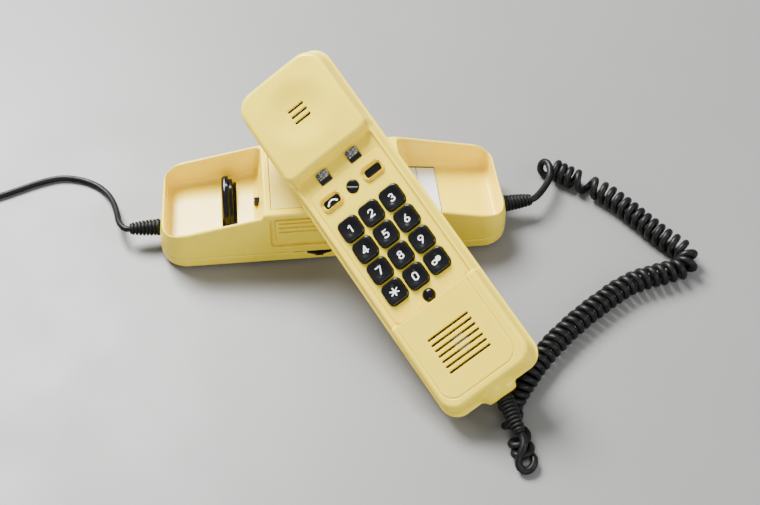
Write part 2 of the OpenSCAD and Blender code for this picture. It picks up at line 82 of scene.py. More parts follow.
def make_camera():
    right, up = Vector(CAMERA_RIGHT), Vector(CAMERA_UP)
    back = right.cross(up)
    turn = Matrix((right, back.cross(right), back)).transposed()
    data = bpy.data.cameras.new("camera")
    data.lens, data.sensor_width, data.sensor_fit = CAMERA_LENS, 36, "HORIZONTAL"
    data.clip_start = 0.01
    camera = linked("camera", data)
    camera.matrix_world = Matrix.Translation(Vector(CAMERA_AT) * MM) @ turn.to_4x4()
    scene.camera = camera


make_camera()

# ---- sizes, in mm ---------------------------------------------------------

BASE_LOW, BASE_HIGH = (tuple(c / MM for c in corner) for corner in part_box("base_top_shell"))
BASE_HX = BASE_HIGH[0]  # half length at the front
BASE_HX_BACK = BASE_HX - 2.5
BASE_HY = BASE_HIGH[1]  # half depth
BLOCK_X = 44  # half length of the middle block
SEAM_Z = BASE_LOW[2]
RIM_MID, RIM_SLOPE = 43.5, 0.2284  # height of the rim beside the block, and its fall
BLOCK_FRONT, BLOCK_BACK = BASE_HIGH[2], 42.5
WELL_IN, WELL_SLOPE = 20.2, 0.1226  # height of the well floor beside the block, and its fall
WELL_END, WELL_HY = 107.9, 30  # the wells' outer ends and half width
FEET = [(-92, -22), (92, -22), (-92, 22), (92, 22), (0, 0)]
POSTS = [(-34, -22), (34, -22), (-34, 24), (34, 24)]  # where the base's screws go in
GLAND_Y, GLAND_Z = -6, 12.6
WALL = 2.2  # thickness of every shell
HOOK_X = -68.5  # middle of the hook lever's blade
SLIDER_AT = (-11.3, 8.6)  # the ringer switch in the front wall: x and z

# the handset: its own origin is at the key tops, in the middle of the twelve keys
HANDSET = Matrix.LocRotScale(
    Vector((29.7, -74.8, 62.95)) * MM, Euler([math.radians(a) for a in (21.3, -31, 19)]), None)
HS_HALF, HS_EAR, HS_MOUTH = 33.3, 132, 105  # half width at the seam, keypad centre to each end
HS_SEAM, HS_BACK = -9, -24.6  # heights of the seam and of the back
HS_CORD_Z, HS_CORD_R = -12, 4.8  # the cord's hole in the mouth end
KEYPAD_LOW, KEYPAD_HIGH = -41, 65.0  # the keypad field, between the two raised blocks
SHELL_Z, PLATE_Z = -3.4, -2.4  # faces of the shell in that field and of the keypad plate on it
EAR_Z, MOUTH_Z = 6, 2  # faces of the earpiece and mouthpiece blocks
PITCH, KEY_W, GAP = 15.5, 13.6, 0.35  # key spacing, key width and the gap round each key
HOLLOW_R, HOLLOW_Z = 12.5, 11.25  # the round hollow in each key
BAR_AT, BAR_SIZE = (15.5, 44), (10.4, 4.6)
ADJUSTER_AT, ADJUSTER_R = (0, 43.6), 3.8
ADJUSTER_TURN = math.radians(-37)  # which way its slot points
MUTE_AT, MUTE_R = (0, -36.8), 3.7
PLATE_AT = (11.2, 59.5)  # the bright contact plates

COIL_WIDTH, WIRE, LINE = 15.2, 4.6, 4.0  # curly cord's outer width, its wire, the line cord

# ---- small tools ----------------------------------------------------------


def add(name, mesh, body, slot, place=None, look=None):
    """Link a mesh as a piece that rides a body; place is its matrix, in metres.

    It wears the material named after its slot, or the one named by look."""
    piece = linked(name, mesh)
    if place is not None:
        piece.matrix_world = place
    mesh.materials.append(LOOKS[look or slot])
    if body:
        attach(piece, body)
    return piece


def both(a, b, r):
    """Where a and b overlap, with the edge between them rounded to r."""
    return np.minimum(-r, np.maximum(a, b)) + np.hypot(np.maximum(a + r, 0), np.maximum(b + r, 0))


def either(a, b, r):
    """a and b joined, with a fillet of radius r."""
    return -both(-a, -b, r)


def without(a, b, r):
    """a with b cut out of it, the cut's edge rounded to r."""
    return both(a, -b, r)


def span(v, low, high):
    """Distance from the stretch between low and high."""
    return np.maximum(low - v, v - high)


def pad(x, y, w, l, r):
    """Distance from a w by l rectangle, centred, with corners of radius r."""
    u, v = np.abs(x) - w / 2 + r, np.abs(y) - l / 2 + r
    return np.minimum(np.maximum(u, v), 0) + np.hypot(np.maximum(u, 0), np.maximum(v, 0)) - r


CORNERS = np.array([(i, j, k) for i in (0, 1) for j in (0, 1) for k in (0, 1)])
EDGES = [(a, b) for a in range(8) for b in range(a + 1, 8) if bin(a ^ b).count("1") == 1]


def net(field, low, high, cell):
    """Points and quads on the zero level of field(x, y, z), one point for each crossed cell."""
    low = np.asarray(low, np.float32)
    count = np.ceil((np.asarray(high) - low) / cell).astype(int) + 1
    axes = [low[k] + cell * np.arange(count[k], dtype=np.float32) for k in range(3)]
    value = np.empty(count, np.float32)
    step = max(1, 400000 // (count[1] * count[2]))
    for i in range(0, count[0], step):
        x, y, z = np.meshgrid(axes[0][i : i + step], axes[1], axes[2], indexing="ij")
        value[i : i + step] = field(x, y, z)
    inside = value < 0
    filled = sum(inside[i : count[0] - 1 + i, j : count[1] - 1 + j, k : count[2] - 1 + k].astype(np.int8)
                 for i, j, k in CORNERS)
    crossed = (filled > 0) & (filled < 8)
    cells = np.argwhere(crossed)
    number = np.full(crossed.shape, -1, np.int32)
    number[crossed] = np.arange(len(cells))
    at = np.stack([value[tuple((cells + c).T)] for c in CORNERS], 1)
    total, hits = np.zeros((len(cells), 3)), np.zeros(len(cells))
    for a, b in EDGES:
        cut = (at[:, a] < 0) != (at[:, b] < 0)
        t = at[cut, a] / (at[cut, a] - at[cut, b])
        total[cut] += CORNERS[a] + t[:, None] * (CORNERS[b] - CORNERS[a])
        hits[cut] += 1
    points = low + cell * (cells + total / hits[:, None])
    quads = []
    for k in range(3):
        i, j = (k + 1) % 3, (k + 2) % 3
        start = [slice(1, n - 1) for n in count]
        start[k] = slice(0, count[k] - 1)
        end = list(start)
        end[k] = slice(1, count[k])
        first, last = inside[tuple(start)], inside[tuple(end)]
        where = np.argwhere(first != last)
        leaving = first[tuple(where.T)]
        where = where + [0 if m == k else 1 for m in range(3)]
        ring = []
        for di, dj in ((0, 0), (1, 0), (1, 1), (0, 1)):
            c = where.copy()
            c[:, i] -= di
            c[:, j] -= dj
            ring.append(number[tuple(c.T)])
        ring = np.stack(ring, 1)
        quads.append(np.where(leaving[:, None], ring, ring[:, ::-1]))
    return points, np.concatenate(quads)


def slope(field, p):
    """The field at each point and its gradient there."""
    h = 0.08
    g = np.stack([field(*(p + h * e).T) - field(*(p - h * e).T) for e in np.eye(3)], 1) / (2 * h)
    return field(*p.T), g


def skin(name, field, low, high, cell, keep):
    """A mesh on the field's zero level, thinned to the share keep, with the field's own normals."""
    points, quads = net(field, low, high, cell)
    rough = bpy.data.meshes.new(name + "_rough")
    rough.from_pydata(points, [], quads.tolist())
    holder = linked(name + "_rough", rough)
    holder.modifiers.new("thin", "DECIMATE").ratio = keep
    bpy.context.view_layer.update()
    mesh = bpy.data.meshes.new_from_object(
        holder.evaluated_get(bpy.context.evaluated_depsgraph_get()))
    bpy.data.objects.remove(holder)
    bpy.data.meshes.remove(rough)
    mesh.name = name
    p = np.empty(len(mesh.vertices) * 3)
    mesh.vertices.foreach_get("co", p)
    p = p.reshape(-1, 3)
    for _ in range(3):
        f, g = slope(field, p)
        g2 = np.maximum((g * g).sum(1), 0.2)
        p -= np.clip(f / g2, -cell / 2, cell / 2)[:, None] * g
    g = slope(field, p)[1]
    normals = g / np.maximum(np.linalg.norm(g, axis=1), 1e-6)[:, None]
    mesh.vertices.foreach_set("co", (p * MM).ravel())
    mesh.polygons.foreach_set("use_smooth", [True] * len(mesh.polygons))
    mesh.update()
    mesh.normals_split_custom_set_from_vertices(normals.tolist())
    return mesh


def curve_through(points, steps):
    """A smooth line through the points, with steps points along each stretch."""
    p = np.array(points, float)
    p = np.vstack([2 * p[0] - p[1], p, 2 * p[-1] - p[-2]])
    out = []
    for i in range(1, len(p) - 2):
        for t in np.arange(steps) / steps:
            out.append(0.5 * (2 * p[i] + (p[i + 1] - p[i - 1]) * t
                              + (2 * p[i - 1] - 5 * p[i] + 4 * p[i + 1] - p[i + 2]) * t * t
                              + (3 * p[i] - p[i - 1] - 3 * p[i + 1] + p[i + 2]) * t ** 3))
    return np.array(out + [p[-2]])


def evenly(path, gap):
    """The path with its points moved to lie about gap apart."""
    run = np.concatenate([[0], np.cumsum(np.linalg.norm(np.diff(path, axis=0), axis=1))])
    at = np.linspace(0, run[-1], int(run[-1] / gap) + 1)
    return np.stack([np.interp(at, run, path[:, k]) for k in range(3)], 1)


def tube(name, path, radius):
    """A closed round tube along the path, without twist."""
    sides = 12
    along = np.gradient(path, axis=0)
    along /= np.linalg.norm(along, axis=1)[:, None]
    side = np.cross(along[0], (0.3, 0.2, 0.9))
    turn = 2 * math.pi * np.arange(sides) / sides
    verts = []
    for p, t in zip(path, along):
        side = side - t * side.dot(t)
        side /= np.linalg.norm(side)
        up = np.cross(t, side)
        verts += [p + radius * (math.cos(a) * side + math.sin(a) * up) for a in turn]
    n = len(path)
    faces = [(i * sides + k, i * sides + (k + 1) % sides, (i + 1) * sides + (k + 1) % sides,
              (i + 1) * sides + k) for i in range(n - 1) for k in range(sides)]
    faces += [tuple(reversed(range(sides))), tuple((n - 1) * sides + k for k in range(sides))]
    mesh = bpy.data.meshes.new(name)
    mesh.from_pydata([tuple(v * MM) for v in verts], [], faces)
    mesh.polygons.foreach_set("use_smooth", [True] * (len(faces) - 2) + [False] * 2)
    mesh.update()
    return mesh


# ---- materials ------------------------------------------------------------


LOOKS = {}  # every material by name; most are named after the slot they are for


class Nodes:
    """One node material; each call adds a node and returns it."""

    def __init__(self, name):
        self.material = LOOKS[name] = bpy.data.materials.new(name)
        self.material.use_nodes = True
        self.tree = self.material.node_tree
        self.shader = self.tree.nodes["Principled BSDF"]
        self.place = self.add("ShaderNodeTexCoord").outputs["Object"]

    def add(self, kind, **values):
        node = self.tree.nodes.new(kind)
        for key, value in values.items():
            if hasattr(node, key):
                setattr(node, key, value)
            else:
                node.inputs[key.replace("_", " ")].default_value = value
        return node

    def link(self, source, target):
        self.tree.links.new(source, target)

    def noise(self, size, detail, stretch=(1, 1, 1), seed=0.0):
        """Noise whose patches are about size mm across."""
        moved = self.add("ShaderNodeMapping")
        moved.inputs["Scale"].default_value = stretch
        moved.inputs["Location"].default_value = (seed, seed * 0.7, seed * 0.3)
        self.link(self.place, moved.inputs["Vector"])
        noise = self.add("ShaderNodeTexNoise", Scale=1 / (size * MM), Detail=detail)
        self.link(moved.outputs[0], noise.inputs["Vector"])
        return noise.outputs["Fac"]

    def ramp(self, source, *stops):
        """Colours or greys at places along source."""
        node = self.add("ShaderNodeValToRGB")
        marks = node.color_ramp.elements
        while len(marks) < len(stops):
            marks.new(0.5)
        for mark, (at, colour) in zip(marks, stops):
            mark.position = at
            mark.color = (*((colour,) * 3 if isinstance(colour, (int, float)) else colour), 1)
        self.link(source, node.inputs[0])
        return node.outputs[0]

    def mix(self, share, a, b):
        node = self.add("ShaderNodeMix", data_type="RGBA")
        for socket, value in ((node.inputs[0], share), (node.inputs[6], a), (node.inputs[7], b)):
            if isinstance(value, bpy.types.NodeSocket):
                self.link(value, socket)
            else:
                socket.default_value = value if isinstance(value, (int, float)) else (*value, 1)
        return node.outputs[2]

    def bump(self, height, depth, strength, under=None):
        node = self.add("ShaderNodeBump", Strength=strength, Distance=depth * MM)
        self.link(height, node.inputs["Height"])
        if under is not None:
            self.link(under, node.inputs["Normal"])
        return node.outputs[0]

    def finish(self, colour, roughness, normal=None, **plain):
        self.link(colour, self.shader.inputs["Base Color"])
        self.link(roughness, self.shader.inputs["Roughness"])
        if normal is not None:
            self.link(normal, self.shader.inputs["Normal"])
        for key, value in plain.items():
            self.shader.inputs[key.replace("_", " ")].default_value = value


def moulded(name, light, dark, aged, rough, wear=None, grain=0.012, crevice_shade=0.5, **plain):
    """Moulded plastic: slow colour drift, handling marks, pale worn edges, painted shade in creases and
    hollows, fine skin.
    """
    n = Nodes(name)
    colour = n.ramp(n.noise(55, 2), (0.35, light), (0.65, dark))
    colour = n.mix(n.ramp(n.noise(17, 5, seed=3), (0.52, 0.0), (0.75, 0.35)), colour, aged)
    sharp = n.add("ShaderNodeNewGeometry").outputs["Pointiness"]
    if wear:
        colour = n.mix(n.ramp(sharp, (0.53, 0.0), (0.62, 0.55)), colour, wear)
    # painted shade: in creases and hollows the colour goes to half its dark tone
    hollow = n.ramp(sharp, (0.40, crevice_shade), (0.485, 0.0))
    colour = n.mix(hollow, colour, tuple(c * 0.5 for c in dark))
    specks = n.ramp(n.noise(0.9, 2, seed=5), (0.70, 0.0), (0.76, 0.25))
    colour = n.mix(specks, colour, tuple(c * 0.7 for c in aged))
    smears = n.mix(0.5, n.noise(9, 4, (1, 0.35, 1), 7), n.noise(0.35, 2, (0.15, 1, 1), 9))
    gloss = n.ramp(smears, (0.35, rough[0]), (0.65, rough[1]))
    texture = n.bump(n.noise(0.45, 2, seed=2), grain, 0.5)
    lines = n.ramp(n.noise(0.25, 1, (0.04, 1, 1), 11), (0.70, 0.0), (0.74, 1.0))
    n.finish(colour, gloss, n.bump(lines, 0.01, 0.25, texture), **plain)


def rubbery(name, colour, dust, rough, grain=0.03, **plain):
    """Matt black rubber or cord jacket, with dust on it."""
    n = Nodes(name)
    base = n.ramp(n.noise(6, 3), (0.3, colour), (0.7, tuple(c * 1.6 for c in colour)))
    base = n.mix(n.ramp(n.noise(1.6, 6, seed=4), (0.56, 0.0), (0.74, 0.5)), base, dust)
    gloss = n.ramp(n.noise(2.5, 4, seed=6), (0.3, rough[0]), (0.7, rough[1]))
    n.finish(base, gloss, n.bump(n.noise(0.5, 3, seed=8), grain, 0.6), **plain)


def metal(name, colour, rough=(0.18, 0.34), dull_tarnish_and_reflection=0.72, patch=3, reflection_below=None):
    """Plated or brushed metal with fine lines and tarnish, and on the bright plates dark patches of
    painted reflection; the last argument is a painted dark reflection's colour under y = -0.8 mm.
    """
    n = Nodes(name)
    lines = n.noise(0.3, 2, (0.08, 1, 1), 1)
    # the patches' colour: tarnish on most metals, near-black painted reflection on the bright plates
    clean, tarnish_and_reflection_at = (0.40, 0.62) if reflection_below else (0.35, 0.75)
    tarnish_and_reflection = tuple(c * dull_tarnish_and_reflection for c in colour)
    base = n.ramp(n.noise(patch, 4, seed=2), (clean, colour), (tarnish_and_reflection_at, tarnish_and_reflection))
    if reflection_below:
        along = n.add("ShaderNodeSeparateXYZ")
        scaled = n.add("ShaderNodeMapping")
        scaled.inputs["Scale"].default_value = (1, 125, 1)  # y over 8 mm, from 0 to 1
        scaled.inputs["Location"].default_value = (0, 0.5, 0)
        n.link(n.place, scaled.inputs["Vector"])
        n.link(scaled.outputs[0], along.inputs[0])
        # painted reflection: a dark colour under y = -0.8 mm
        base = n.mix(n.ramp(along.outputs["Y"], (0.38, 1.0), (0.42, 0.0)), base, reflection_below)
    gloss = n.ramp(n.mix(0.5, lines, n.noise(2, 3, seed=3)), (0.35, rough[0]), (0.65, rough[1]))
    n.finish(base, gloss, n.bump(lines, 0.008, 0.3), Metallic=1.0)


# light, dark and aged colour, roughness, and the paler colour of worn edges
IVORY = (
    (0.94, 0.72, 0.04), (0.92, 0.69, 0.03), (0.85, 0.585, 0.022), (0.19, 0.3), (0.96, 0.85, 0.25))
moulded("ivory_plastic", *IVORY, Specular_IOR_Level=0.34)
# the raised rims take little of the painted crease shade
moulded("ivory_rims", *IVORY, crevice_shade=0.08, Specular_IOR_Level=0.34)
# the card panel is darker than the ivory as painted shade: the handset's shadow over it
moulded("card_plastic", (0.76, 0.61, 0.10), (0.73, 0.58, 0.085), (0.66, 0.50, 0.06), (0.3, 0.42))
BLACK = ((0.0035, 0.0035, 0.004), (0.005, 0.005, 0.006), (0.012, 0.012, 0.013))
moulded("black_plastic", *BLACK, (0.08, 0.18), grain=0.003, Specular_IOR_Level=0.24)
moulded("key_plastic", *BLACK, (0.15, 0.24), grain=0.003, Specular_IOR_Level=0.34)
moulded("label_paper", (0.80, 0.80, 0.80), (0.74, 0.74, 0.75), (0.70, 0.68, 0.62), (0.55, 0.75))
moulded("white_print", (0.97, 0.97, 0.96), (0.94, 0.94, 0.93), (0.9, 0.89, 0.87), (0.35, 0.5))
# dark_ink also paints the shadow gap round the paper label
moulded("dark_ink", (0.03, 0.03, 0.03), (0.05, 0.05, 0.05), (0.08, 0.07, 0.06), (0.5, 0.7))
rubbery("black_rubber", (0.004, 0.004, 0.004), (0.03, 0.028, 0.024), (0.4, 0.6),
        Specular_IOR_Level=0.2)
rubbery("cord_jacket", (0.003, 0.003, 0.003), (0.016, 0.015, 0.013), (0.34, 0.55),
        Specular_IOR_Level=0.22)
metal("steel", (0.62, 0.62, 0.64))
# the bright plates' near-black patches and dark lower part are painted reflection
metal("bright_metal", (0.70, 0.69, 0.66), rough=(0.05, 0.16), dull_tarnish_and_reflection=0.05, patch=1.1,
      reflection_below=(0.06, 0.06, 0.055))
metal("gold_contacts", (0.83, 0.62, 0.25))
metal("brass_disc", (0.72, 0.55, 0.26), rough=(0.25, 0.45))
moulded("circuit_board", (0.05, 0.16, 0.06), (0.07, 0.20, 0.08), (0.12, 0.24, 0.10), (0.3, 0.5))
moulded("inner_plastic", (0.10, 0.10, 0.11), (0.13, 0.13, 0.14), (0.16, 0.15, 0.15), (0.4, 0.6))
rubbery("silicone", (0.20, 0.20, 0.22), (0.3, 0.3, 0.3), (0.4, 0.6))
rubbery("foam_ring", (0.04, 0.04, 0.04), (0.09, 0.09, 0.09), (0.8, 0.95), grain=0.3)
moulded("clear_plastic", (0.70, 0.74, 0.76), (0.66, 0.70, 0.72), (0.6, 0.62, 0.62), (0.08, 0.2),
        Transmission_Weight=0.7, IOR=1.5)


def dress_frame():
    """Give every CAD node that is still shown the material of its slot."""
    for part in frame["record"]["subparts"]:
        node = frame["nodes"][part["node"]]
        node.data.materials.clear()
        node.data.materials.append(LOOKS[part["material_slot"]])


dress_frame()

# ---- cords ----------------------------------------------------------------

# the curly cord's centre line: x, y and its height over its width
COIL_ROUTE = [
    (152.8, 26.6, 1), (155.5, 24.2, 1), (161, 19.5, 1), (169, 13, 1), (178, 6, 1), (187, -3, 1),
    (195, -14, 1), (203, -26, 1), (211, -37.5, 1), (218.5, -47, 1), (223, -53, 1), (223.6, -60, 1),
    (219, -65.5, 1), (210, -68.2, 1), (198, -70.7, 1), (185, -74.5, 1), (172, -81, 1),
    (157.5, -90.5, 1), (142.5, -101.5, 1), (128.5, -113, 1), (116.5, -125, 1), (106.5, -136, 1),
    (98.5, -146.5, 0.88), (91.8, -156, 0.76), (90.9, -165, 0.69), (92.2, -173, 0.66),
    (93.2, -182, 0.64), (93.6, -190, 0.66)]
# how far apart the turns are, by distance along that line
COIL_PITCH = [
    (0, 4.8), (15, 5.2), (20, 13), (30, 13), (34, 6.1), (90, 6.0), (100, 6.8), (124, 6.8), (132, 6.1),
    (240, 6.1), (262, 4.9), (284, 4.9), (290, 15), (302, 15), (307, 6.6), (315, 7), (325, 9), (345, 9.6),
    (400, 9.6)]
# the plain wire at its two ends: out of the base's gland, and up into the handset's
LEAD_IN = [
    (128, -4.5, 12.6), (131.4, -4.1, 12.6), (135, -2, 12.5), (138.8, 1.9, 12.4), (142.6, 6.8, 12),
    (146, 12.2, 11.6), (148.3, 17.4, 11.6), (149.3, 22.6, 12.2), (148.8, 27.3, 12.5), (146.9, 30.7, 11),
    (145.2, 31.2, 7.9), (144.8, 29, 4.7), (146.6, 26.4, 2.9), (149.6, 25.7, 2.4)]
LEAD_OUT = [
    (98.6, -189.4, 4.3), (99.2, -192.2, 4.6), (98.2, -195.2, 4.0), (95.6, -197.4, 3.2),
    (92.4, -197.6, 3.0), (90.2, -195.6, 4.2), (89.9, -192.9, 6.6), (91.2, -190.4, 9.2),
    (92.8, -187.8, 11), (93.8, -184.8, 12), (93.6, -181.6, 12.5), (92.8, -179, 13), (92.2, -177.4, 13.4)]
LINE_ROUTE = [
    (-128, -6, 12.6), (-131, -6, 12.6), (-135, -5, 12.2), (-139, 2, 10.6), (-141, 12, 8), (-144, 24, 5),
    (-149, 35, 2.8), (-157, 44, 2), (-168, 50, 2), (-181, 52.5, 2), (-195, 49.5, 2), (-208, 44.5, 2),
    (-221, 39.5, 2), (-236, 35, 2), (-250, 31.6, 2)]
SPARE_AT, SPARE_R, SPARE_LAYERS = (-267, 2), (29, 17), 3  # coil's centre, outer and inner turn
TAIL_ROUTE = [
    (-287.6, -10, 13), (-285.4, -22, 9), (-279.5, -32.5, 4.4), (-270, -39.5, 2.2), (-259, -42.5, 2),
    (-248, -46, 2), (-241, -53, 2.4), (-239, -63, 3.4), (-239, -66, 3.4)]


def helix():
    """Centre line of the curly cord's wire along the coil, lying on the table."""
    axis = curve_through(COIL_ROUTE, 24)
    run = np.concatenate([[0], np.cumsum(np.linalg.norm(np.diff(axis[:, :2], axis=0), axis=1))])
    step = 0.05
    fine = np.arange(0, run[-1], step)
    x, y, tall = (np.interp(fine, run, axis[:, k]) for k in range(3))
    ahead = np.stack([np.gradient(x), np.gradient(y)], 1)
    ahead /= np.linalg.norm(ahead, axis=1)[:, None]
    pitch = np.interp(fine, *zip(*COIL_PITCH))
    turns = np.concatenate([[0], np.cumsum(step / pitch)[:-1]])
    # from the bottom of a turn to an eighth past the bottom
    turns = 0.5 + turns * (round(turns[-1]) + 0.125) / turns[-1]
    angle = 2 * math.pi * turns
    uneven = 1 + 0.03 * np.sin(turns * 2.1) + 0.02 * np.sin(turns * 5.3 + 1)  # some turns are wider
    wide = (COIL_WIDTH - WIRE) / 2 * uneven
    high = (COIL_WIDTH * tall - WIRE) / 2
    centre = high + WIRE / 2 + 0.03
    # where there is less height than width, the turns lean forwards rather than pinch
    lean = np.sqrt(np.maximum(((COIL_WIDTH - WIRE) / 2) ** 2 - high ** 2, 0)) * np.cos(angle)
    line = np.stack([x + wide * np.sin(angle) * ahead[:, 1] + lean * ahead[:, 0],
                     y - wide * np.sin(angle) * ahead[:, 0] + lean * ahead[:, 1],
                     centre + high * np.cos(angle)], 1)
    return evenly(line, 1.9)


def spare_turns():
    """The line cord's spare length, wound outwards and inwards in layers on the table."""
    outer, inner = SPARE_R
    turns = (outer - inner) / LINE
    line, angle, r, z, inwards = [], math.pi / 2, outer, LINE / 2, True
    for _ in range(SPARE_LAYERS):
        for share in np.linspace(0, 1, int(turns * 16), endpoint=False):
            line.append((angle, r + (inner - outer if inwards else outer - inner) * share, z))
            angle += 2 * math.pi / 16
        r = inner if inwards else outer
        for share in np.linspace(0, 1, 16, endpoint=False):
            line.append((angle, r, z + LINE * share))
            angle += 2 * math.pi / 16
        z += LINE
        inwards = not inwards
    # on top of the coil, out to where the tail leaves it at the left
    last = angle + (math.pi - angle) % (2 * math.pi)
    for a in np.linspace(angle, last, 10):
        line.append((a, r + 4.5 * (a - angle) / (last - angle), z))
    return [(SPARE_AT[0] + r * math.cos(a), SPARE_AT[1] + r * math.sin(a), z) for a, r, z in line]


def make_cords():
    curly = np.vstack([curve_through(LEAD_IN, 6)[:-1], helix(), curve_through(LEAD_OUT, 6)[1:]])
    curly = evenly(curly, 1.9)
    piece = add("curly_cord", tube("curly_cord", curly, WIRE / 2), None, "cord_jacket")
    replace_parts(piece, "coiled_cord", "coiled_cord_base_lead", "coiled_cord_handset_lead")
    # the base's gland and the coil's far corner both lie level with start, so neither end pulls loose
    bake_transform(piece)
    line = np.array(LINE_ROUTE + spare_turns() + TAIL_ROUTE)
    line = evenly(curve_through(line, 6), 3.0)
    piece = add("line_lead", tube("line_lead", line, LINE / 2), "base", "cord_jacket")
    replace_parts(piece, "line_cord", "line_cord_spare_coil", "line_cord_tail")


make_cords()

# ---- base -----------------------------------------------------------------


def base_plan(x, y, z):
    """Outline of the base, whose end walls bulge out below the rim."""
    side = np.abs(x) - BASE_HX + (BASE_HX - BASE_HX_BACK) * (y + BASE_HY) / (2 * BASE_HY)
    side = side + 0.0075 * np.maximum(z - 11, 0) ** 2 * (np.abs(x) > 60)
    sill = 0.022 * np.maximum(z - 12, 0)
    return np.maximum(both(side, sill - BASE_HY - y, 18), both(side, y - BASE_HY + sill, 12))


def block_top(y, z):
    """Distance above the tilted top of the middle block."""
    return z - BLOCK_BACK - (28 - y) * (BLOCK_FRONT - BLOCK_BACK) / 57.5


def well(x, y, z):
    """The space of the two wells: leaning walls, a sloping floor and a fillet between them."""
    u = np.abs(x)
    floor = WELL_IN - (u - BLOCK_X) * WELL_SLOPE
    lean = 0.05 * np.maximum(38 - z, 0)
    inner = BLOCK_X + 0.6 - u + 0.19 * np.maximum(41 - z, 0)
    outer = u - WELL_END + 0.5 * y / 30 + lean
    front, back = -WELL_HY - y + lean, y - WELL_HY + lean
    plan = np.maximum(np.maximum(both(outer, front, 11), both(outer, back, 7)),
                      np.maximum(both(inner, front, 4), both(inner, back, 4)))
    return both(plan, floor - z, 3.6)


def base_outside(x, y, z):
    """The outer skin of the upper base moulding, open below."""
    u = np.abs(x)
    rim = (z - RIM_MID + np.maximum(u - BLOCK_X, 0) * RIM_SLOPE) * 0.975
    top = block_top(y, z)
    block = both(both(both(top, u - BLOCK_X - 1.2, 1.5), y - BASE_HY + 0.5, 4), -BASE_HY - y, 3)
    body = both(base_plan(x, y, z), either(rim, block, 2.5), 1.6)
    body = without(body, well(x, y, z), 1.3)
    panel = both(both(u - 40.2, span(y, -26.7, 24.2), 0.8), -1.5 - top, 0.1)
    body = without(body, panel, 0.25)
    recess = both(both(u - 41.4, span(z, 16, 41.8), 2.5), y + BASE_HY - 3.0, 1.2)
    return without(body, recess, 0.8)


def openings(x, y, z):
    """What is cut through the base mouldings: gland holes, hook slot and the hole beside it."""
    glands = both(np.hypot(y - GLAND_Y, z - GLAND_Z) - 4.9, 109.4 - np.abs(x), 0.1)
    slot = both(both(span(x, HOOK_X - 3.4, HOOK_X + 6.3), span(y, -14.2, 24.6), 0.8), 5 - z, 0.1)
    latch = both(both(span(x, -53, -43), span(y, -1.5, 3.0), 0.3), span(z, 20.9, 26.5), 0.3)
    return np.minimum(np.minimum(glands, slot), latch)


def base_top(x, y, z):
    outside = base_outside(x, y, z)
    wall = both(outside, -WALL - outside, 0.2)
    wall = both(wall, SEAM_Z + 0.2 - z, 0.45)
    louvre_hole = both(both(np.abs(x) - 34, span(z, 24, 38), 1), span(y, -40, -28), 0.1)
    return without(wall, np.minimum(openings(x, y, z), louvre_hole), 0.3)


def slider_slot(u, w):
    """Outline of the ringer switch's slot, which runs to a point at its ends from below."""
    taper = 0.24 * np.maximum(np.abs(u) - 2.5, 0)
    return both(np.abs(u) - 7.8, span(w, -2.4 + 1.6 * taper, 1.45 - 0.3 * taper), 0.3)


def base_bottom(x, y, z):
    outside = both(base_plan(x, y, z), 1.2 - z, 3.6)
    wall = both(outside, -WALL - outside, 0.2)
    wall = both(wall, z - SEAM_Z + 0.2, 0.45)
    cuts = openings(x, y, z)
    for px, py in FEET:
        cuts = np.minimum(cuts, both(np.hypot(x - px, y - py) - 6.2, z - 2, 0.1))
    for px, py in POSTS:
        cuts = np.minimum(cuts, both(np.hypot(x - px, y - py) - 3.2, z - 4, 0.1))
    u = x - SLIDER_AT[0]
    slider = both(slider_slot(u, z - SLIDER_AT[1]), y + 28, 0.1)
    pocket = both(both(np.abs(u) - 16.8, span(z, 5.3, 11.6), 0.3), span(y, -BASE_HY + 0.8, -28), 0.2)
    wall = without(without(wall, np.minimum(cuts, slider), 0.3), pocket, 0.1)
    return without(wall, well(x, y, z) - 1.95, 0.2)


def louvre(x, y, z):
    """The raised sounder grille in the front: three grooves over a plain lip."""
    u = np.abs(x)
    body = both(both(u - 38, span(z, 20, 41.2), 1.6), span(y, -BASE_HY - 0.5, -BASE_HY + 2.95), 0.7)
    tongue = both(both(u - 33.6, span(z, 24.4, 37.6), 1), span(y, -BASE_HY, -BASE_HY + 3.4), 0.2)
    body = either(body, tongue, 0.2)
    for groove in (39.1, 35.1, 31.1):
        cut = both(both(u - 36, np.abs(z - groove) - 0.8, 0.5), y + BASE_HY - 1.2, 0.2)
        body = without(body, cut, 0.35)
    return body


def hook_side(y, z):
    """Side view of the hook lever."""
    back = both(np.hypot(y - 15.5, z + 2) - 31, y - 22.6, 4)
    return both(both(back, -13.2 - y, 2), 9.2 + np.maximum(y + 4, 0) * 0.27 - z, 1.5)


def hook_lever(x, y, z):
    """The hook switch's lever: a thick rounded blade, a flat ledge beside it and a foot in the slot."""
    u = x - HOOK_X
    blade = both(both(hook_side(y, z), -2.9 - u, 2.4), u - 1.7, 0.6)
    ledge = both(both(hook_side(y, z) + 2.4, 1.0 - u, 0.2), u - 4.2, 0.5)
    foot = both(both(span(u, -2.9, 5.9), span(y, -13.6, 22.4), 1), span(z, 12.1, 14.2), 0.6)
    pin = both(np.hypot(y + 9, z - 11) - 1.06, -3.2 - u, 0.1)
    return without(either(either(blade, ledge, 0.3), foot, 0.3), pin, 0.1)


def card_panel(x, y, z):
    top = block_top(y, z)
    body = both(both(np.abs(x) - 39.9, span(y, -26.4, 23.9), 0.7), span(top, -1.45, 0.0), 0.3)
    notch = both(np.hypot(x, y - 26.2) - 4.6, -0.8 - top, 0.1)
    return without(body, notch, 0.3)


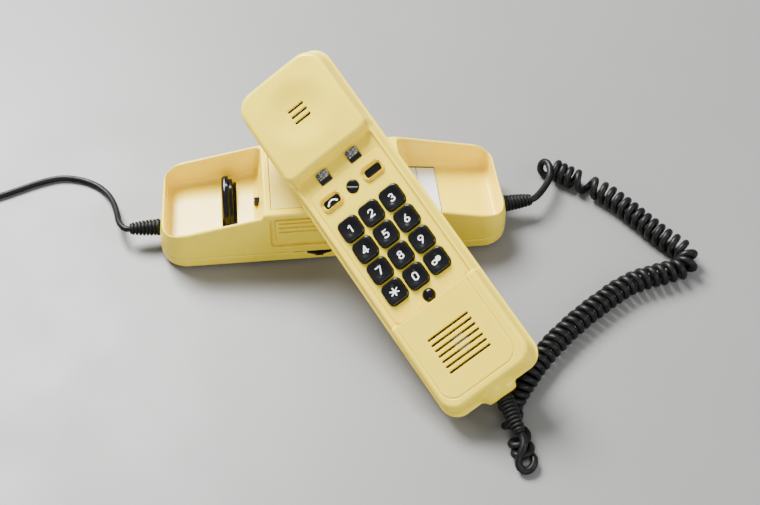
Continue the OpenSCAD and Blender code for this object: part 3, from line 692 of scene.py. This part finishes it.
def ringer_slider(x, y, z):
    """A ribbed knob outside the slot, and a strip that fills the slot from behind at all its places."""
    u, w, face = x - SLIDER_AT[0], z - SLIDER_AT[1], -BASE_HY
    knob = both(both(np.abs(u) - 2.6, span(w, -1.6, 1.1), 0.5), span(y, face - 1.4, face - 0.12), 0.4)
    for groove in (-1.3, 0, 1.3):
        knob = without(knob, np.hypot(u - groove, y - face + 1.4) - 0.35, 0.1)
    stem = both(both(np.abs(u) - 1.5, np.abs(w + 0.1) - 0.7, 0.2), span(y, face - 0.5, face + 2), 0.1)
    strip = both(both(np.abs(u) - 12.2, span(w, -2.9, 1.4), 0.3), span(y, face + 1.0, face + 3), 0.2)
    return either(either(knob, stem, 0.1), strip, 0.1)


def catch(x, y, z):
    """The small black catch seen in the left well's inner wall."""
    return both(both(span(x, -51.0, -44.2), span(y, -1.3, 2.8), 0.3), span(z, 21.0, 25.6), 0.5)


def make_base():
    x, y = BASE_HX + 2, BASE_HY + 2
    # name, field, its box, cell and share kept, then the node it stands for and its body
    jobs = [
        ("base_upper", base_top, (-x, -y, SEAM_Z - 1), (x, y, 48), 0.55, 0.22,
         "base_top_shell", "base"),
        ("base_lower", base_bottom, (-x, -y, 0), (x, y, SEAM_Z + 1), 0.6, 0.2,
         "base_bottom_shell", "base"),
        ("louvre_plate", louvre, (-39, -34.5, 19), (39, -30, 42.5), 0.35, 0.35,
         "ringer_louvre", "base"),
        ("hook_blade", hook_lever, (-72.5, -15, 6), (-61.5, 25, 31), 0.35, 0.5,
         "hook_lever", "hook_lever"),
        ("card_plate", card_panel, (-41, -28, 40), (41, 26, 47), 0.5, 0.3, "card_panel", "base"),
        ("slider_tab", ringer_slider, (-24.5, -35, 5), (1.9, -29, 12), 0.25, 0.5,
         "ringer_slider", "ringer_slider"),
    ]
    slot_of = {p["node"]: p["material_slot"] for p in frame["record"]["subparts"]}
    for name, field, low, high, cell, keep, node, body in jobs:
        piece = add(name, skin(name, field, low, high, cell, keep), body, slot_of[node])
        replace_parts(piece, node)
    add("wall_catch", skin("wall_catch", catch, (-52, -2, 20), (-43.5, 3.5, 27), 0.25, 0.5), "base",
        "black_plastic")


make_base()

# ---- handset --------------------------------------------------------------


def handset_plan(x, y):
    side = np.abs(x) - HS_HALF
    return np.maximum(both(side, y - HS_EAR, 13), both(side, -HS_MOUTH - y, 11))


def boss(x, y, z):
    """The swelling round the cord's exit in the mouth end."""
    swelling = pad(x, z - HS_CORD_Z, 20, 12.6, 6)
    return both(swelling, span(y, -HS_MOUTH - 3.5, -96), 2.2)


def ear_block(x, y, z):
    lean = 0.12 * (z + 5)
    side, top, low = np.maximum(x - 30.9, -x - 31.9) + lean, y - 130.3 + lean, 65.3 - y + lean
    plan = np.maximum(both(side, top, 12), both(side, low, 6))
    r = np.hypot(x, y - 99.3)
    dish = 1.3 * (1 + np.cos(np.pi * np.clip((r - 4) / 20, 0, 1)))
    crown = 0.0012 * x * x + 0.0008 * (y - 98) ** 2
    return both(plan, z - EAR_Z + dish + crown, 2.8)


def mouth_block(x, y, z):
    """The raised mouthpiece with a fine groove inside its edge."""
    lean = 0.13 * (z + 5)
    body = both(both(np.abs(x) - 31.1 + lean, -101.6 - y + lean, 10), z - MOUTH_Z, 2.6)
    body = both(body, y - KEYPAD_LOW, 0.8)
    ring = np.abs(pad(x + 1.4, y + 62, 50.4, 67, 9)) - 0.35
    return without(body, both(ring, MOUTH_Z - 0.4 - z, 0.1), 0.3)


def key_holes(x, y, gap):
    """Plan of every hole in the keypad: keys, two bars and two round buttons."""
    u = x - PITCH * np.clip(np.round(x / PITCH), -1, 1)
    v = y - PITCH * (np.clip(np.round(y / PITCH - 0.5), -2, 1) + 0.5)
    holes = pad(u, v, KEY_W + 2 * gap, KEY_W + 2 * gap, 3.4 + gap)
    wide, tall = BAR_SIZE[0] + 2 * gap, BAR_SIZE[1] + 2 * gap
    bars = pad(np.abs(x) - BAR_AT[0], y - BAR_AT[1], wide, tall, 1.3 + gap)
    adjuster = np.hypot(x - ADJUSTER_AT[0], y - ADJUSTER_AT[1]) - ADJUSTER_R - gap
    mute = np.hypot(x - MUTE_AT[0], y - MUTE_AT[1]) - MUTE_R - gap
    return np.minimum(np.minimum(holes, bars), np.minimum(adjuster, mute))


def slots(x, y):
    """Plan of the sound slots: three in the earpiece, seven in the mouthpiece."""
    ear = y - 99.2 - 4.2 * np.clip(np.round((y - 99.2) / 4.2), -1, 1)
    mouth = y + 70.16 - 3.72 * np.clip(np.round((y + 70.16) / 3.72), -3, 3)
    return np.minimum(pad(x, ear, 11.6, 1.9, 0.8), pad(x + 1.2, mouth, 29.0, 1.5, 0.7))


def front_outside(x, y, z):
    """The outer skin of the front moulding, open below."""
    plan = handset_plan(x, y)
    lip = both(plan, z + 7.6, 0.35)
    wall = (plan + 1.3 + 0.42 * np.maximum(z + 7.6, 0)) * 0.93
    body = either(lip, both(wall, z + 1.5, 0.9), 0.6)
    body = either(body, ear_block(x, y, z), 1.6)
    body = either(body, mouth_block(x, y, z), 1.2)
    hump = (np.sqrt((x / 11) ** 2 + ((y + 101.5) / 7.4) ** 2 + ((z + 11) / 9.5) ** 2) - 1) * 7
    body = either(body, both(hump, -HS_MOUTH - 3.3 - y, 1.0), 2.4)
    body = either(body, boss(x, y, z), 3.0)
    field = both(both(np.abs(x) - 28.0, span(y, KEYPAD_LOW, KEYPAD_HIGH), 2.5), SHELL_Z - z, 0.6)
    return without(body, field, 0.7)


def front_shell(x, y, z):
    outside = front_outside(x, y, z)
    wall = both(outside, -WALL + 0.2 - outside, 0.2)
    wall = both(wall, HS_SEAM + 0.14 - z, 0.3)
    cuts = np.minimum(key_holes(x, y, GAP), slots(x, y))
    contacts = both(pad(np.abs(x) - PLATE_AT[0], y - PLATE_AT[1], 8.4, 8.4, 0.5), SHELL_Z - 0.5 - z, 0.1)
    cord = both(np.hypot(x, z - HS_CORD_Z) - HS_CORD_R, y + 95, 0.1)
    return without(wall, np.minimum(np.minimum(cuts, contacts), cord), 0.3)


def back_shell(x, y, z):
    outside = both(handset_plan(x, y) + 0.3 + 0.06 * (HS_SEAM - z), HS_BACK - z, 15.3)
    outside = either(outside, boss(x, y, z), 3.0)
    wall = both(outside, -WALL - outside, 0.2)
    wall = both(wall, z - HS_SEAM + 0.14, 0.3)
    cuts = both(np.hypot(x, z - HS_CORD_Z) - HS_CORD_R, y + 95, 0.1)
    for screw in (124, -95):
        cuts = np.minimum(cuts, both(np.hypot(x, y - screw) - 3.0, z + 19, 0.1))
    return without(wall, cuts, 0.35)


def keypad_plate(x, y, z):
    outline = pad(x, y - 7, 51.6, 94.8, 4.2)
    body = both(outline, span(z, SHELL_Z + 0.02, PLATE_Z), 0.4)
    groove = np.abs(pad(np.abs(x) - BAR_AT[0], y - BAR_AT[1], 15.3, 9.7, 3.7)) - 0.25
    body = without(body, both(groove, PLATE_Z - 0.4 - z, 0.1), 0.15)
    return without(body, key_holes(x, y, GAP), 0.3)


def key_cap(x, y, z):
    """One key: rounded square with a round hollow in its top, its own centre at the top of the edge."""
    side = pad(x, y, KEY_W, KEY_W, 3.4) + 0.02 * np.maximum(z + 6, 0)
    body = both(side, z + 0.004 * (x * x + y * y), 0.7)
    hollow = HOLLOW_R - np.sqrt(x * x + y * y + (z - HOLLOW_Z) ** 2)
    body = both(body, hollow, 0.6)
    inside = both(pad(x, y, KEY_W - 2.4, KEY_W - 2.4, 2.4), z + 1.6, 0.2)
    return both(without(body, inside, 0.2), -7.4 - z, 0.2)


def bar_button(x, y, z):
    body = both(pad(x, y, *BAR_SIZE, 1.3), z + 1.9 + 0.012 * x * x + 0.05 * y * y, 0.5)
    return both(body, -7.4 - z, 0.2)


def bar_frame(x, y, z):
    """Raised rim round a bar button."""
    outer, inner = pad(x, y, 14.2, 8.5, 3.3), pad(x, y, BAR_SIZE[0] + 0.9, BAR_SIZE[1] + 0.9, 1.7)
    body = both(both(outer, -inner, 0.2), span(z, PLATE_Z + 0.01, PLATE_Z + 1.5), 0.5)
    return without(body, both(pad(x, y, 12.1, 6.5, 2.4), PLATE_Z + 0.45 - z, 0.2), 0.3)


def adjuster(x, y, z):
    across = -x * math.sin(ADJUSTER_TURN) + y * math.cos(ADJUSTER_TURN)
    body = both(np.hypot(x, y) - ADJUSTER_R, z + 1.6, 0.5)
    body = without(body, both(np.abs(across) - 0.55, -2.6 - z, 0.1), 0.2)
    return both(body, -6.8 - z, 0.2)


def mute_button(x, y, z):
    dome = np.sqrt(x * x + y * y + (z + 7.2) ** 2) - 6.4
    body = both(np.hypot(x, y) - MUTE_R, dome, 0.5)
    return both(body, -7.4 - z, 0.2)


def contact_plate(x, y, z):
    """A bright bent square plate: its lower third slopes down to the keypad."""
    bend = 0.36 * np.maximum(-0.6 - y, 0) + 0.09 * np.sin(2.2 * x + y) * np.minimum(np.maximum(y, 0), 1)
    body = both(pad(x, y, 7.9, 7.9, 0.5), np.abs(z - SHELL_Z - 0.85 + bend) - 0.3, 0.22)
    bar = both(np.hypot(y + 0.6, z - SHELL_Z - 1.0) - 0.32, np.abs(x) - 3.3, 0.2)
    return either(body, bar, 0.05)


def on_handset(x=0.0, y=0.0, z=0.0):
    return HANDSET @ Matrix.Translation(Vector((x, y, z)) * MM)


KEYS = ["1", "2", "3", "4", "5", "6", "7", "8", "9", "star", "0", "redial"]  # in rows of three
MARKS = {"star": "*", "redial": "o"}  # the keys that aren't marked with their own name


def hollow_z(x, y):
    """Height of the hollow in a key's top."""
    return HOLLOW_Z - np.sqrt(HOLLOW_R ** 2 - x * x - y * y)


def stroke(x, y, *ends):
    """Distance to the line through the points in ends."""
    best = np.inf
    for (ax, ay), (bx, by) in zip(ends, ends[1:]):
        dx, dy = bx - ax, by - ay
        t = np.clip(((x - ax) * dx + (y - ay) * dy) / (dx * dx + dy * dy), 0, 1)
        best = np.minimum(best, np.hypot(x - ax - t * dx, y - ay - t * dy))
    return best


def bow(x, y, cx, cy, r, start=-180, stop=180):
    """Distance to an arc that runs counterclockwise between two angles in degrees."""
    half = math.radians(stop - start) / 2
    middle = math.radians(start + stop) / 2
    u = (x - cx) * math.cos(middle) + (y - cy) * math.sin(middle)
    v = np.abs((y - cy) * math.cos(middle) - (x - cx) * math.sin(middle))
    near_arc = np.abs(np.hypot(u, v) - r)
    near_end = np.hypot(u - r * math.cos(half), v - r * math.sin(half))
    return np.where(np.arctan2(v, u) < half, near_arc, near_end)


def six(x, y):
    return np.minimum(bow(x, y, 0, -0.95, 1.22), stroke(x, y, (-1.1, -0.42), (0.5, 2.25)))


BOLD, WIDE = 0.37, 1.16  # half the digits' line width, and how much wider they are than drawn here
DIGITS = {
    "0": lambda x, y: np.abs(pad(x, y, 2.5, 4.4, 1.25)),
    "1": lambda x, y: stroke(x, y, (-0.75, 1.3), (0.35, 2.15), (0.35, -2.2)),
    "2": lambda x, y: np.minimum(bow(x, y, 0, 1.0, 1.18, -38, 168),
                                 stroke(x, y, (0.93, 0.27), (-1.2, -2.15), (1.3, -2.15))),
    "3": lambda x, y: np.minimum(bow(x, y, -0.05, 1.14, 1.02, -90, 155),
                                 bow(x, y, -0.05, -1.03, 1.17, -155, 90)),
    "4": lambda x, y: stroke(x, y, (1.5, -1.15), (-1.5, -1.15), (0.55, 2.2), (0.55, -2.2)),
    "5": lambda x, y: np.minimum(stroke(x, y, (1.15, 2.2), (-0.75, 2.2), (-0.95, 0.3)),
                                 bow(x, y, -0.1, -0.78, 1.38, -145, 128)),
    "6": six,
    "7": lambda x, y: stroke(x, y, (-1.3, 2.2), (1.3, 2.2), (-0.35, -2.2)),
    "8": lambda x, y: np.minimum(bow(x, y, 0, 1.17, 0.98),
                                 bow(x, y, 0, -1.0, 1.2)),
    "9": lambda x, y: six(-x, -y),
    "*": lambda x, y: np.minimum(stroke(x, y, (0, 2.4), (0, -2.4)), np.minimum(
        stroke(x, y, (2.08, 1.2), (-2.08, -1.2)), stroke(x, y, (-2.08, 1.2), (2.08, -1.2)))),
    # the last key's mark: a small ring and a disc
    "o": lambda x, y: np.minimum(bow(x, y, -1.35, -0.4, 1.15),
                                 np.hypot(x - 1.2, y - 0.45) - 1.2),
}


def receiver_mark(x, y):
    """A lying handset as a small picture: an arc with a foot at each end."""
    feet = stroke(np.abs(x), y, (2.75, -0.75), (3.2, -1.05)) - 0.15
    return np.minimum(bow(x, y, 0, -2.6, 3.4, 35, 145), feet)


def printed(name, plan, reach, height):
    """Print of a flat shape, plan(x, y) < 0, laid just proud of the surface height(x, y)."""
    (x, y), levels = reach, (height(0, 0), height(*reach))

    def layer(px, py, pz):
        return both(plan(px, py), span(pz - height(px, py), -0.2, 0.07), 0.04)

    return skin(name, layer, (-x, -y, min(levels) - 0.3), (x, y, max(levels) + 0.3), 0.11, 0.5)


def bar_top(x, y):
    return -1.9 - 0.012 * x * x - 0.05 * y * y


def make_keys():
    cap = skin("key_cap", key_cap, (-7.4, -7.4, -8), (7.4, 7.4, 0.6), 0.28, 0.5)
    for i, key in enumerate(KEYS):
        name, text = "key_" + key, MARKS.get(key, key)
        at = on_handset((i % 3 - 1) * PITCH, (1.5 - i // 3) * PITCH)
        piece = add(name + "_cap", cap.copy(), name, "black_plastic", at, "key_plastic")
        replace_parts(piece, name)
        mark = printed(name + "_mark", lambda x, y: DIGITS[text](x / WIDE, y) - BOLD, (3.6, 3.2),
                       hollow_z)
        add(name + "_mark", mark, name, "label_paper", at, "white_print")


def make_handset():
    x = HS_HALF + 2
    jobs = [
        ("handset_front", front_shell, (-x, -HS_MOUTH - 5, -10.5), (x, HS_EAR + 2, 8.5), 0.42, 0.25,
         "handset_front_shell"),
        ("handset_rear", back_shell, (-x, -HS_MOUTH - 5, HS_BACK - 1), (x, HS_EAR + 2, -7.5), 0.6, 0.2,
         "handset_back_shell"),
        ("keypad_field", keypad_plate, (-27, -42, -4.2), (27, 56, -1.6), 0.3, 0.25, "keypad_plate"),
    ]
    for name, field, low, high, cell, keep, node in jobs:
        mesh = skin(name, field, low, high, cell, keep)
        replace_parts(add(name, mesh, "handset", "ivory_plastic", on_handset()), node)
    bar = skin("bar_button", bar_button, (-6, -3.4, -8), (6, 3.4, -0.4), 0.25, 0.4)
    rim = skin("bar_rim", bar_frame, (-8, -5.5, -3), (8, 5.5, -1), 0.2, 0.4)
    plate = skin("contact_plate", contact_plate, (-4.6, -4.6, -5.6), (4.6, 4.6, -1.8), 0.16, 0.4)
    frames, plates = [], []
    for side, node, name in ((-1, "line_button", "left"), (1, "flash_button", "right")):
        at = on_handset(side * BAR_AT[0], BAR_AT[1])
        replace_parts(add("bar_" + name, bar.copy(), node, "black_plastic", at), node)
        frames.append(add("bar_rim_" + name, rim.copy(), "handset", "ivory_plastic", at, "ivory_rims"))
        plates.append(add("contact_" + name, plate.copy(), "handset", "bright_metal",
                          on_handset(side * PLATE_AT[0], PLATE_AT[1])))
    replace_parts(frames[0], "button_frames")
    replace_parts(plates[0], "contact_plates")
    mark = printed("bar_left_mark", lambda x, y: receiver_mark(x, y) - 0.42, (4.3, 2.2), bar_top)
    at = on_handset(-BAR_AT[0], BAR_AT[1])
    add("bar_left_mark", mark, "line_button", "label_paper", at, "white_print")
    tip = (3.1 * math.cos(ADJUSTER_TURN), 3.1 * math.sin(ADJUSTER_TURN))
    line = printed("adjuster_line", lambda x, y: stroke(x, y, tip, (-tip[0], -tip[1])) - 0.24,
                   (3.3, 3.3), lambda x, y: -2.58 + 0 * x)
    at = on_handset(*ADJUSTER_AT)
    add("adjuster_line", line, "volume_adjuster", "label_paper", at, "white_print")
    rounds = [("adjuster_cap", adjuster, "volume_adjuster", ADJUSTER_AT),
              ("mute_cap", mute_button, "mute_button", MUTE_AT)]
    for name, field, node, (cx, cy) in rounds:
        mesh = skin(name, field, (-4.4, -4.4, -8), (4.4, 4.4, 0.4), 0.25, 0.5)
        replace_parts(add(name, mesh, node, "black_plastic", on_handset(cx, cy)), node)


make_handset()
make_keys()

# ---- glands, label --------------------------------------------------------


def gland_mesh(name, long, r0, r1, ribs, neck):
    """Ribbed strain relief along +Z: rings from radius r0 down to r1, and a neck inside the housing."""
    pitch = (long - 3) / ribs
    profile = [(0.01, -neck), (r0 - 1.4, -neck), (r0 - 1.4, -1), (r0 - 0.6, -0.6), (r0 - 0.2, 0),
               (r0, 0.4), (r0, 1.6), (r0 - 0.4, 1.95)]
    for i in range(ribs):
        r, z = r0 - 0.2 - (r0 - r1) * (i / ribs) ** 1.7, 2 + i * pitch
        profile += [(r - 1.0, z), (r - 1.0, z + 0.12 * pitch), (r - 0.25, z + 0.2 * pitch),
                    (r, z + 0.3 * pitch), (r, z + 0.75 * pitch), (r - 0.25, z + 0.85 * pitch),
                    (r - 1.0, z + 0.92 * pitch)]
    profile += [(r1 - 0.5, long - 0.9), (r1 - 0.3, long - 0.3), (r1 - 0.9, long), (0.01, long)]
    n = 40  # points round it
    verts = []
    for i in range(n):
        a = 2 * math.pi * i / n
        dent = 0.18 * (1 + math.cos(4 * a)) / 2
        for r, z in profile:
            if r > 1:
                r = r - dent
            verts.append((r * math.cos(a) * MM, r * math.sin(a) * MM, z * MM))
    m = len(profile)
    faces = [(i * m + k, ((i + 1) % n) * m + k, ((i + 1) % n) * m + k + 1, i * m + k + 1)
             for i in range(n) for k in range(m - 1)]
    mesh = bpy.data.meshes.new(name)
    mesh.from_pydata(verts, [], faces)
    mesh.polygons.foreach_set("use_smooth", [True] * len(faces))
    mesh.update()
    return mesh


def make_glands():
    turn = Matrix.Rotation
    for side, node, name in ((-1, "line_gland", "relief_line"), (1, "base_cord_gland", "relief_curly")):
        at = Matrix.Translation(Vector((side * BASE_HX, GLAND_Y, GLAND_Z)) * MM)
        at = at @ turn(side * math.pi / 2, 4, "Y") @ turn(math.radians(-6 if side > 0 else 0), 4, "X")
        mesh = gland_mesh(name, 19, 5.5, 3.9, 7, 4)
        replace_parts(add(name, mesh, "base", "black_rubber", at), node)
    at = on_handset(0, -HS_MOUTH - 4.8, HS_CORD_Z)
    at = at @ turn(math.radians(-10), 4, "Z") @ turn(math.radians(82), 4, "X")
    mesh = gland_mesh("relief_handset", 21.6, 5.4, 3.6, 8, 4)
    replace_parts(add("relief_handset", mesh, "handset", "black_rubber", at), "handset_gland")


# the dark lines on the paper label: the four round its edge are a painted shadow gap, the one at x 13.4 a
# printed column line; x and y at the two corners of each
PRINT_AND_SHADOW_LINES = [(8.1, -24.8, 8.6, 26.8), (13.4, -24.8, 13.9, 25.5), (25.95, -24.8, 26.45, 26.8),
         (8.1, 25.5, 26.45, 26.8), (8.1, -24.8, 26.45, -24.3)]


def paper(x, y, z):
    return both(pad(x - 17.25, y - 1, 18.5, 52, 0.4), span(z, 0.02, 0.25), 0.08)


def print_and_shadow_lines(x, y, z):
    lines = [np.maximum(span(x, x0, x1), span(y, y0, y1)) for x0, y0, x1, y1 in PRINT_AND_SHADOW_LINES]
    return both(np.minimum.reduce(lines), span(z, 0.1, 0.3), 0.04)


def make_label():
    """Blank paper label on the right well floor, with a dark outline of painted shadow and one printed
    column line.
    """
    angle = math.atan(WELL_SLOPE)
    place = Matrix.Translation(Vector((BLOCK_X, 0, WELL_IN)) * MM) @ Matrix.Rotation(angle, 4, "Y")
    sheet = skin("label_sheet", paper, (7, -26, -0.4), (27.5, 28, 0.6), 0.2, 0.05)
    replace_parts(add("label_sheet", sheet, "base", "label_paper", place), "paper_label")
    # the printed column line, and the painted shadow gap round the label's edge
    lines = skin("label_print_and_shadow", print_and_shadow_lines, (7.5, -25.5, 0), (27, 27.5, 0.4), 0.14, 0.2)
    add("label_print_and_shadow", lines, "base", "black_plastic", place, "dark_ink")


make_glands()
make_label()

# ---- floor and lights -----------------------------------------------------


def make_floor():
    n = Nodes("floor")
    colour = n.ramp(n.noise(400, 1), (0.3, (0.195, 0.195, 0.19)), (0.7, (0.215, 0.215, 0.21)))
    gloss = n.ramp(n.noise(60, 3), (0.3, 0.42), (0.7, 0.5))
    n.finish(colour, gloss)
    mesh = bpy.data.meshes.new("floor")
    size, z = 4.0, -0.0002
    corners = [(-size, -size, z), (size, -size, z), (size, size, z), (-size, size, z)]
    mesh.from_pydata(corners, [], [(0, 1, 2, 3)])
    floor = linked("floor", mesh)
    mesh.materials.append(n.material)


def lamp(name, at, aim, size, power):
    data = bpy.data.lights.new(name, "AREA")
    data.shape, data.size, data.size_y = "RECTANGLE", *size
    data.energy = power
    light = linked(name, data)
    light.location = at
    light.rotation_euler = (Vector(aim) - Vector(at)).to_track_quat("-Z", "Y").to_euler()


def make_lights():
    lamp("soft_back_left", (-0.6, 0.85, 1.3), (0.02, -0.03, 0), (0.8, 0.8), 118)
    lamp("soft_right", (1.25, -0.75, 0.95), (0.02, -0.03, 0), (0.6, 0.6), 13)
    lamp("soft_front", (-0.1, -1.5, 0.55), (0, -0.03, 0.02), (1.2, 0.4), 10)
    world = bpy.data.worlds.new("world")
    scene.world = world
    world.use_nodes = True
    tree = world.node_tree
    # brighter overhead than at the horizon
    ray = tree.nodes.new("ShaderNodeTexCoord")
    height = tree.nodes.new("ShaderNodeSeparateXYZ")
    ramp = tree.nodes.new("ShaderNodeValToRGB")
    tree.links.new(ray.outputs["Generated"], height.inputs[0])
    tree.links.new(height.outputs["Z"], ramp.inputs[0])
    low, high = ramp.color_ramp.elements
    low.position, low.color = 0.05, (0.20, 0.21, 0.22, 1)
    high.position, high.color = 0.95, (0.54, 0.55, 0.56, 1)
    tree.links.new(ramp.outputs[0], tree.nodes["Background"].inputs[0])


make_floor()
make_lights()
